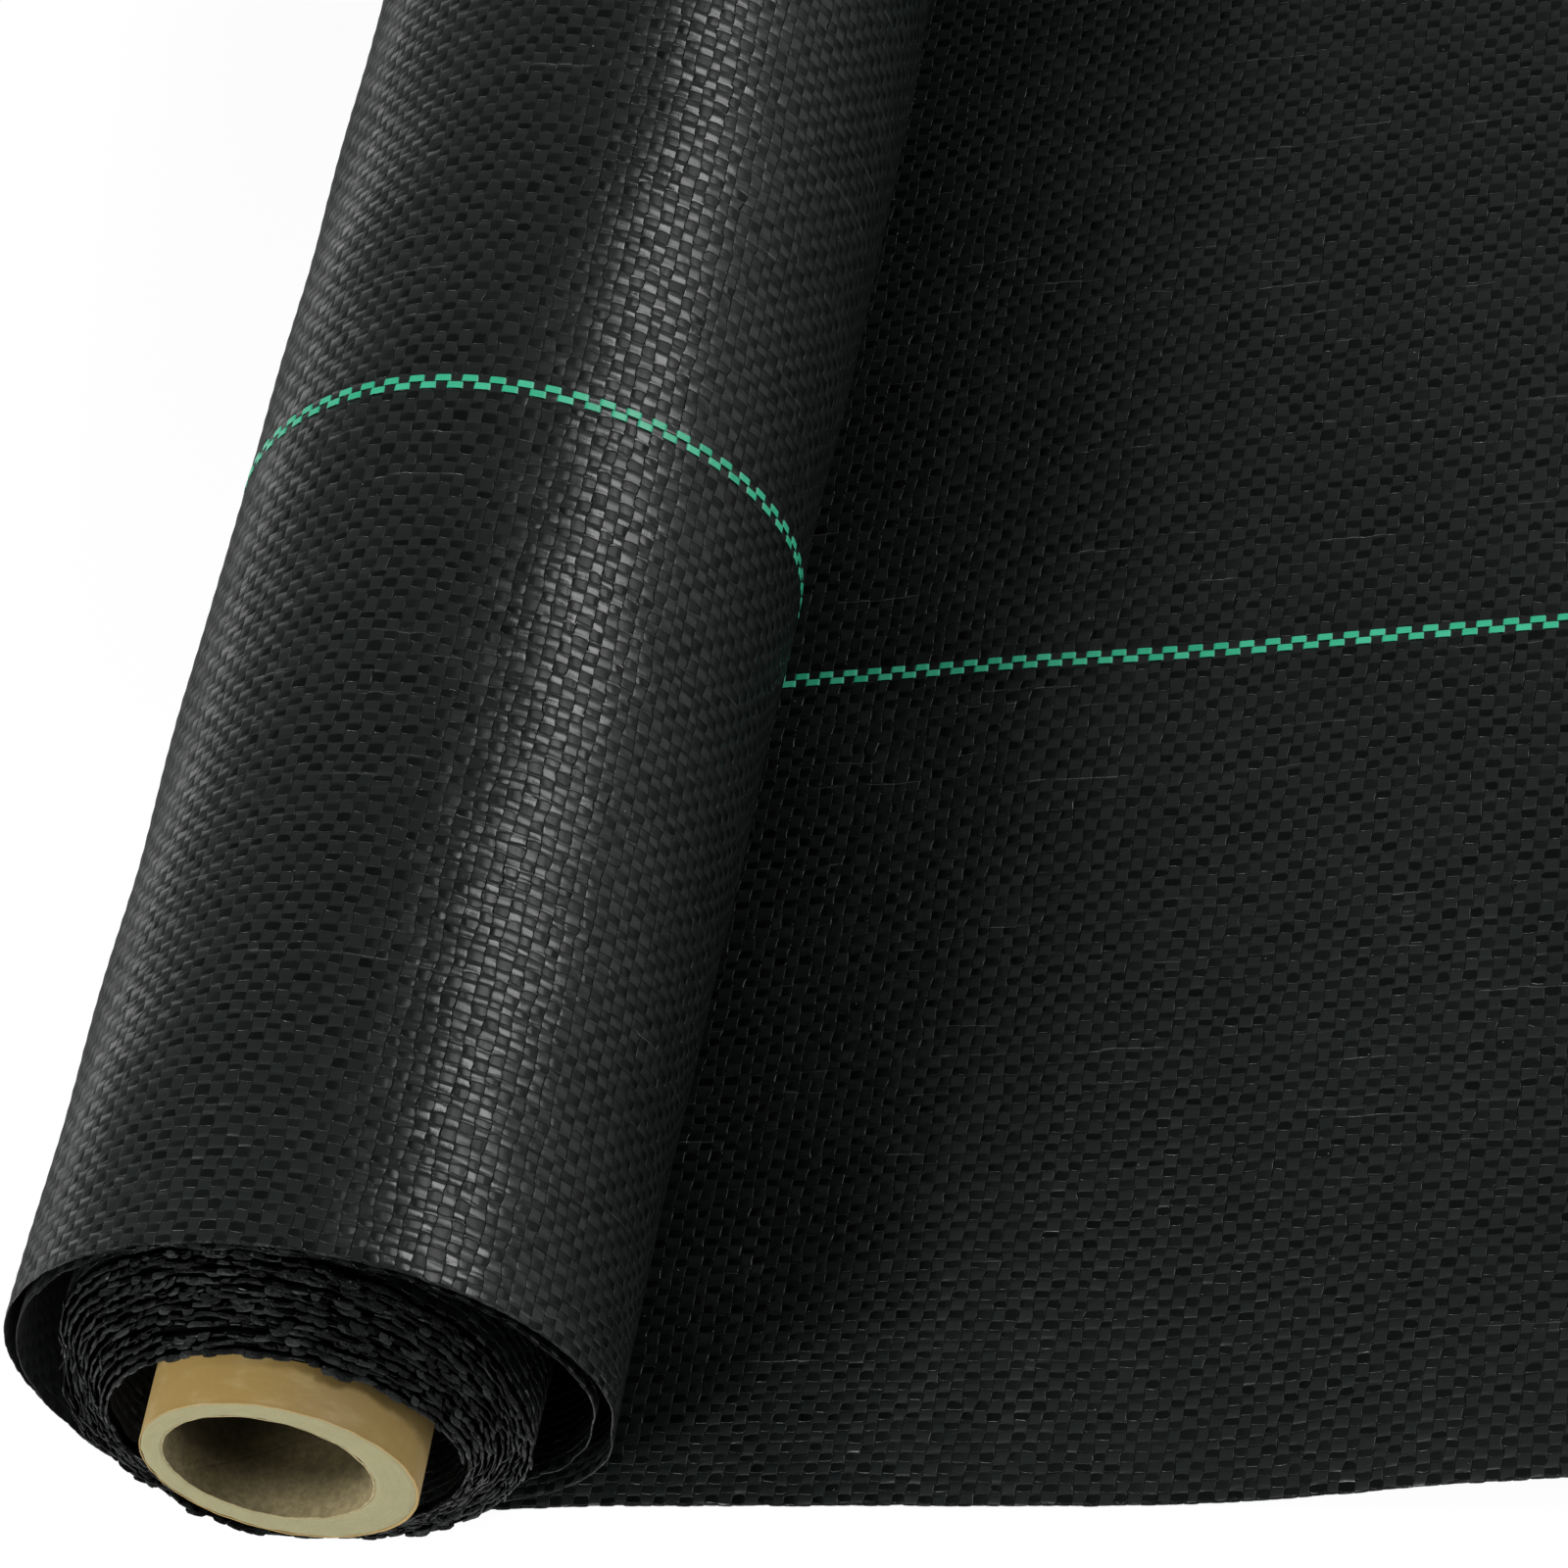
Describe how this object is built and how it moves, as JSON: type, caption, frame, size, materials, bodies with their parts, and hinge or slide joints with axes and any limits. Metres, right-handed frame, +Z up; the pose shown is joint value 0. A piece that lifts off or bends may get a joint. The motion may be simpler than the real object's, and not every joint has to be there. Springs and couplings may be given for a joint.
{
  "type": "roll of weed control fabric",
  "caption": "Loosely wound roll of black woven ground cover on a cardboard core, with green marker lines and a free stretch lying flat beside it.",
  "frame": {"origin": "middle of the whole part's footprint, on the ground it lies on", "axes": "+Y along the roll's axis, away from the end where the core stands out; +X from the roll towards the free stretch's cut end; +Z up"},
  "size_m": [0.477, 1.034, 0.1499],
  "materials": {
    "woven_fabric": "woven polypropylene tape, semi-matt",
    "green_tape": "woven polypropylene tape, semi-matt",
    "core_board": "grey board plies, cut face",
    "kraft_ply": "ochre kraft paper, smooth",
    "inner_ply": "brown paper, matt"
  },
  "bodies": {
    "roll": {"wound_fabric": "woven_fabric", "roll_marker_line1_tape1": "green_tape", "roll_marker_line1_tape2": "green_tape", "roll_marker_line2_tape1": "green_tape", "roll_marker_line2_tape2": "green_tape", "roll_marker_line3_tape1": "green_tape", "roll_marker_line3_tape2": "green_tape"},
    "core": {"core_body": "core_board", "core_outer_ply": "kraft_ply", "core_inner_ply": "inner_ply"},
    "sheet": {"free_sheet": "woven_fabric", "sheet_marker_line1_tape1": "green_tape", "sheet_marker_line1_tape2": "green_tape", "sheet_marker_line2_tape1": "green_tape", "sheet_marker_line2_tape2": "green_tape", "sheet_marker_line3_tape1": "green_tape", "sheet_marker_line3_tape2": "green_tape"}
  },
  "joints": [
    {"name": "sheet_lift", "type": "hinge", "parent": "roll", "child": "sheet", "pos_m": [-0.10184, 0, 0.0005], "axis": [0, -1, 0], "range_deg": [0, 70]},
    {"name": "core_slide", "type": "slide", "parent": "roll", "child": "core", "axis": [0, -1, 0], "range_m": [0, 0.9]}
  ]
}
